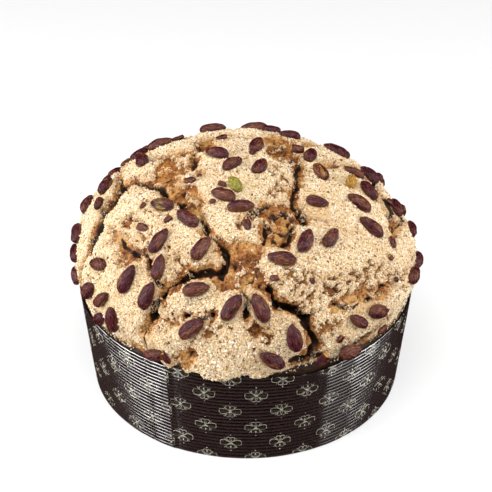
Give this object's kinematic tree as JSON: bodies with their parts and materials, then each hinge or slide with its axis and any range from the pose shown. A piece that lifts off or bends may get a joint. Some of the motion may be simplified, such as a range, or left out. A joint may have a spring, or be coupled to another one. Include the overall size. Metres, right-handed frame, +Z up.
{
  "type": "panettone",
  "caption": "Low domed panettone with cracked almond glaze and whole pistachio kernels, in a tapered ribbed paper baking mould.",
  "frame": {"origin": "centre of the mould's flat underside, where the loaf stands on a surface", "axes": "+Z up through the crown, +X right and -Y towards the viewer of the side whose seam is at the left"},
  "size_m": [0.2269, 0.2306, 0.1612],
  "materials": {
    "crust": "matt, rough: pale granular almond glaze, split in plates over golden-brown baked crust",
    "pistachio": "satin, wrinkled purple-brown kernel skin with a few green and tan patches",
    "paper": "satin dark brown ribbed baking paper, printed with a small pale-gold four-petal motif"
  },
  "bodies": {
    "root": {"mould_band": "paper", "mould_base": "paper", "loaf": "crust", "pistachio_01": "pistachio", "pistachio_02": "pistachio", "pistachio_03": "pistachio", "pistachio_04": "pistachio", "pistachio_05": "pistachio", "pistachio_06": "pistachio", "pistachio_07": "pistachio", "pistachio_08": "pistachio", "pistachio_09": "pistachio", "pistachio_10": "pistachio", "pistachio_11": "pistachio", "pistachio_12": "pistachio", "pistachio_13": "pistachio", "pistachio_14": "pistachio", "pistachio_15": "pistachio", "pistachio_16": "pistachio", "pistachio_17": "pistachio", "pistachio_18": "pistachio", "pistachio_19": "pistachio", "pistachio_20": "pistachio", "pistachio_21": "pistachio", "pistachio_22": "pistachio", "pistachio_23": "pistachio", "pistachio_24": "pistachio", "pistachio_25": "pistachio", "pistachio_26": "pistachio", "pistachio_27": "pistachio", "pistachio_28": "pistachio", "pistachio_29": "pistachio", "pistachio_30": "pistachio", "pistachio_31": "pistachio", "pistachio_32": "pistachio", "pistachio_33": "pistachio", "pistachio_34": "pistachio", "pistachio_35": "pistachio", "pistachio_36": "pistachio", "pistachio_37": "pistachio", "pistachio_38": "pistachio", "pistachio_39": "pistachio", "pistachio_40": "pistachio", "pistachio_41": "pistachio", "pistachio_42": "pistachio", "pistachio_43": "pistachio", "pistachio_44": "pistachio", "pistachio_45": "pistachio", "pistachio_46": "pistachio", "pistachio_47": "pistachio", "pistachio_48": "pistachio", "pistachio_49": "pistachio", "pistachio_50": "pistachio", "pistachio_51": "pistachio", "pistachio_52": "pistachio", "pistachio_53": "pistachio", "pistachio_54": "pistachio", "pistachio_55": "pistachio", "pistachio_56": "pistachio", "pistachio_57": "pistachio"}
  },
  "joints": []
}
